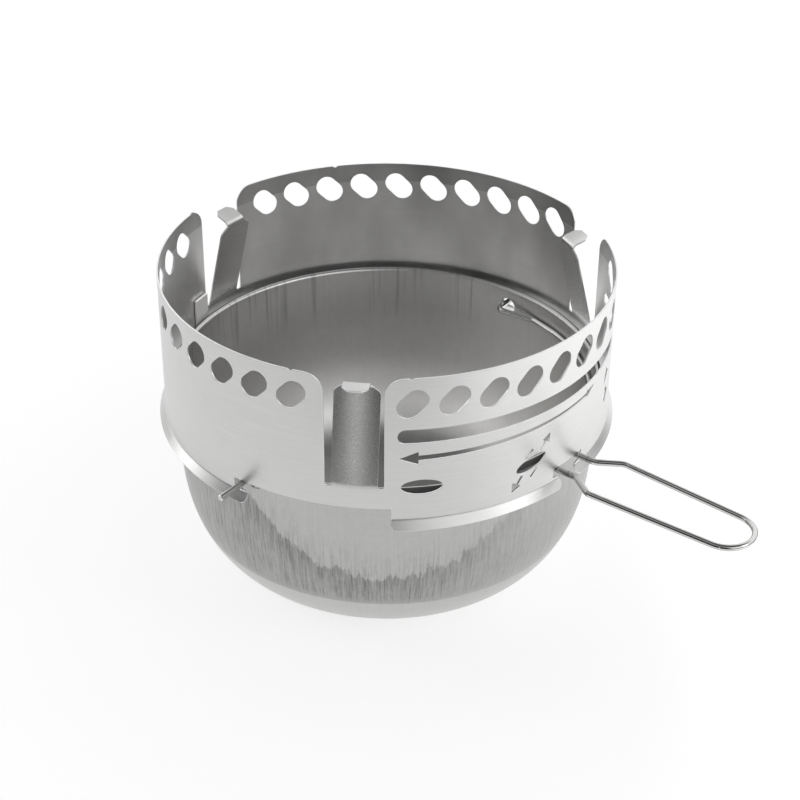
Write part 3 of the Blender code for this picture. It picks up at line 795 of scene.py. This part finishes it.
def arm_path(side):
    """Arm from its tip outside the bowl, round the inside of the wall, out through the leg hole."""
    sign = 1 if side == "left" else -1
    tip = TIPS[side]
    lateral = -LEG_HALF * sign
    corner_along = math.sqrt((ARM_R - LEG_CORNER_INSET) ** 2 - lateral ** 2)
    leg_az = HANDLE_AZ + math.degrees(math.atan2(lateral, corner_along))
    wall_from = tip + sign * ARM_MEETS_WALL
    start = wall_from + sign * ARM_SETTLES
    last = leg_az - sign * LEG_TURN
    entry = fillet_path([polar(TIP_OUT, tip, WIRE_Z), polar(TIP_IN, tip, WIRE_Z),
                         polar(ARM_R, wall_from, WIRE_Z), polar(ARM_R, start, WIRE_Z)], TIP_BEND_R)
    count = 48
    along_wall = [polar(ARM_R, start + (last - start) * k / count, WIRE_Z) for k in range(1, count)]
    exit_leg = fillet_path([polar(ARM_R, last - sign * 1.0, WIRE_Z), handle_point(corner_along, lateral),
                            handle_point(LEG_END - ARM_END_INSET, lateral)], LEG_BEND_R)
    return entry[:-1] + along_wall + exit_leg[1:]


def loop_path(side, steps=32):
    """Half of the outer loop, from the end of the leg to the middle of the round end."""
    sign = -1 if side == "left" else 1
    start = [handle_point(LEG_END - LOOP_OVERLAP, LEG_HALF * sign),
             handle_point(LEG_END + LEG_STRAIGHT, LEG_HALF * sign),
             handle_point(SPREAD_END, SPREAD_HALF * sign), handle_point(LOOP_START, LOOP_R * sign)]
    path = fillet_path(start, LOOP_BEND_R)[:-1]
    for step in range(steps + 1):
        angle = math.radians(90 - 90 * step / steps)
        path.append(handle_point(LOOP_START + LOOP_R * math.cos(angle), LOOP_R * math.sin(angle) * sign))
    return path


def tube(name, path, radius, ends, material, sides=28):
    """Round wire along a path that lies in one horizontal plane. ends: how each end is finished."""
    up = Vector((0, 0, 1))
    rings = []
    for index, here in enumerate(path):
        before = path[max(index - 1, 0)]
        after = path[min(index + 1, len(path) - 1)]
        forward = (after - before).normalized()
        rings.append((here, up.cross(forward).normalized(), forward, radius))
    rings = finish_end(rings, ends[0], True) + rings[1:-1] + finish_end(rings, ends[1], False)
    verts = []
    for here, across, _, r in rings:
        for k in range(sides):
            angle = 2 * math.pi * k / sides
            verts.append((here + across * r * math.cos(angle) + up * r * math.sin(angle)) * MM)
    faces = []
    for ring in range(len(rings) - 1):
        for k in range(sides):
            a = ring * sides + k
            b = ring * sides + (k + 1) % sides
            faces.append((a, b, b + sides, a + sides))
    faces.append(tuple(reversed(range(sides))))
    faces.append(tuple(range((len(rings) - 1) * sides, len(rings) * sides)))
    mesh = bpy.data.meshes.new(name)
    mesh.from_pydata([tuple(v) for v in verts], [], faces)
    model = bmesh.new()
    model.from_mesh(mesh)
    bmesh.ops.recalc_face_normals(model, faces=model.faces)
    model.to_mesh(mesh)
    model.free()
    mesh.shade_smooth()
    mesh.set_sharp_from_angle(angle=math.radians(35))
    mesh.materials.append(material)
    return placed(name, mesh)


def finish_end(rings, kind, first):
    """Rings that end a wire.

    cut: sheared, with a small chamfer. dome: hemisphere, for an end that meets another wire. flat: plain.
    """
    here, across, forward, radius = rings[0] if first else rings[-1]
    sign = 1 if first else -1
    ends = []
    if kind == "cut":
        ends = [(here, across, forward, radius * 0.84),
                (here + forward * 0.28 * sign, across, forward, radius)]
    elif kind == "dome":
        for k in range(8):
            angle = math.pi / 2 * (0.06 + 0.94 * k / 7)
            slip = -radius * math.cos(angle) * sign
            ends.append((here + forward * slip, across, forward, radius * math.sin(angle)))
    else:
        ends = [(here, across, forward, radius)]
    return ends if first else list(reversed(ends))


# ------------------------------------------------------------------ build

def build():
    strip = sheet_steel()
    drawn = bowl_steel()
    wire = wire_metal()

    screen = make_screen(strip, tab_steel(), cut_edge())
    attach(screen, "windscreen")
    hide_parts("windscreen_panel_left", "windscreen_panel_right", "windscreen_panel_back",
                "pot_support_front", "pot_support_left", "pot_support_right")

    bowl = make_bowl(drawn)
    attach(bowl, "bowl")
    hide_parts("bowl")

    for side in ("left", "right"):
        arm = tube("wire_arm_" + side, arm_path(side), WIRE_R, ("cut", "flat"), wire)
        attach(arm, "handle_arm_" + side)
        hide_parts("handle_arm_" + side)
        loop = tube("wire_loop_" + side, loop_path(side), WIRE_R, ("dome", "flat"), wire)
        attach(loop, "handle_loop_" + side)
        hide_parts("handle_loop_" + side)

    plate = plate_steel()
    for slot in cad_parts["seam_plate"].material_slots:
        slot.material = plate


def plate_steel():
    """Seam plate: dull, slightly rolled metal."""
    s = Shader("plate_steel")
    place = s.node("TexCoord").outputs["Object"]
    grain = s.noise(place, (900, 900, 120), 4.0, 0.6)
    cloud = s.noise(place, (140, 140, 140), 3.0)
    value = s.math("MULTIPLY_ADD", grain, 0.16, 0.84)
    value = s.math("MULTIPLY_ADD", cloud, 0.10, value)
    s.feed(s.bsdf, "Base Color", s.grey(value, WARM))
    s.feed(s.bsdf, "Roughness", s.math("MULTIPLY_ADD", grain, 0.2, 0.42))
    s.bsdf.inputs["Metallic"].default_value = 0.7
    s.bump(grain, 0.00003, 0.5)
    return s.material


def studio():
    """White floor that gives off light of its own, brighter to the right, white backdrop, soft lights and the
    camera.
    """
    floor_sheet()
    world_light()
    softbox("strip", (-0.233, -0.965, 0.085), (0.045, 0.17), 0.10)
    softbox("side", (1.15, -0.55, 0.75), (0.35, 0.7), 1.1)
    softbox("left", (-1.2, 0.42, 0.40), (0.5, 0.35), 2.0)

    camera = bpy.data.cameras.new("camera")
    camera.lens = 81.0
    camera.sensor_width = 36.0
    view = bpy.data.objects.new("camera", camera)
    bpy.context.scene.collection.objects.link(view)
    tilt = Matrix.Rotation(math.radians(90 - CAMERA_DOWN), 4, "X") @ Matrix.Rotation(CAMERA_ROLL, 4, "Z")
    view.matrix_world = Matrix.Translation(CAMERA_PLACE) @ tilt
    bpy.context.scene.camera = view
    bpy.context.scene.view_settings.view_transform = "Standard"


def floor_sheet():
    """Paper floor that glows, a painted light. The metal mirrors a sheet of limited size, brighter to the
    right, with dark beyond it.
    """
    bpy.ops.mesh.primitive_plane_add(size=2.6)
    floor = bpy.context.object
    floor.name = "studio_floor"
    s = Shader("floor_white")
    place = s.node("TexCoord").outputs["Object"]
    paper = s.noise(place, (90, 90, 90), 4.0)
    x, y, _ = s.node("SeparateXYZ", None, Vector=place).outputs
    sheet = s.math("MULTIPLY", s.span(y, -0.60, -0.42), s.span(s.math("ABSOLUTE", x), 0.80, 0.62))
    sheet = s.math("MAXIMUM", sheet, s.node("LightPath").outputs["Is Camera Ray"])
    shade = s.math("MULTIPLY_ADD", sheet, 0.85, 0.15)
    tone = s.math("MULTIPLY", s.math("MULTIPLY_ADD", paper, 0.02, 0.48), shade)
    s.feed(s.bsdf, "Base Color", s.grey(tone))
    glow = s.math("MULTIPLY_ADD", s.span(x, 0.10, 0.45), 0.80, 0.68)
    s.feed(s.bsdf, "Emission Strength", s.math("MULTIPLY", glow, sheet))
    s.bsdf.inputs["Roughness"].default_value = 0.7
    s.bsdf.inputs["Specular IOR Level"].default_value = 0.2
    s.bsdf.inputs["Emission Color"].default_value = (1, 1, 1, 1)
    floor.data.materials.append(s.material)


def world_light():
    """White backdrop. The metal mirrors a room bright to half height, dark above, low down, in one corner."""
    world = bpy.data.worlds.new("studio")
    world.use_nodes = True
    tree = world.node_tree
    place = tree.nodes.new("ShaderNodeTexCoord")
    split = tree.nodes.new("ShaderNodeSeparateXYZ")
    tree.links.new(place.outputs["Generated"], split.inputs[0])

    def ramp(source, low, high, start, end):
        node = tree.nodes.new("ShaderNodeMapRange")
        node.interpolation_type = "SMOOTHSTEP"
        for key, value in (("From Min", low), ("From Max", high), ("To Min", start), ("To Max", end)):
            node.inputs[key].default_value = value
        tree.links.new(source, node.inputs["Value"])
        return node.outputs[0]

    def join(operation, first, second):
        node = tree.nodes.new("ShaderNodeMath")
        node.operation = operation
        tree.links.new(first, node.inputs[0])
        tree.links.new(second, node.inputs[1])
        return node.outputs[0]

    height = split.outputs["Z"]
    toward = tree.nodes.new("ShaderNodeVectorMath")
    toward.operation = "DOT_PRODUCT"
    toward.inputs[1].default_value = DARK_CORNER
    tree.links.new(place.outputs["Generated"], toward.inputs[0])
    room = join("MULTIPLY", ramp(height, 0.06, 0.20, 0.04, 1.25), ramp(height, 0.64, 0.90, 1.0, 0.10))
    beside = ramp(toward.outputs["Value"], 0.45, 0.75, 1.0, 0.02)
    corner = join("MAXIMUM", beside, ramp(height, 0.60, 0.80, 0.0, 1.0))
    seen = tree.nodes.new("ShaderNodeLightPath").outputs["Is Camera Ray"]
    background = tree.nodes["Background"]
    tree.links.new(join("MAXIMUM", join("MULTIPLY", room, corner), seen), background.inputs["Strength"])
    background.inputs["Color"].default_value = (1.0, 1.0, 1.0, 1.0)
    bpy.context.scene.world = world


def softbox(name, place, size, power):
    """Rectangular light at place, in metres, that faces the stove."""
    light = bpy.data.lights.new(name, "AREA")
    light.shape = "RECTANGLE"
    light.size, light.size_y = size
    light.energy = power
    item = bpy.data.objects.new(name, light)
    item.location = place
    item.rotation_euler = (Vector((0, 0, 0.08)) - Vector(place)).to_track_quat("-Z", "Y").to_euler()
    bpy.context.scene.collection.objects.link(item)


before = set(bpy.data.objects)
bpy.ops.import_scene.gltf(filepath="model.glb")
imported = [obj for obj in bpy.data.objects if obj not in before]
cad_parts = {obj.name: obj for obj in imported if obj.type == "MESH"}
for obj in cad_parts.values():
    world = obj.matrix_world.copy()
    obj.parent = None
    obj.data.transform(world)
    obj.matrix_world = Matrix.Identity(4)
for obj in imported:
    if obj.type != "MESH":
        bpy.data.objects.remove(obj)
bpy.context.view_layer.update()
build()
studio()
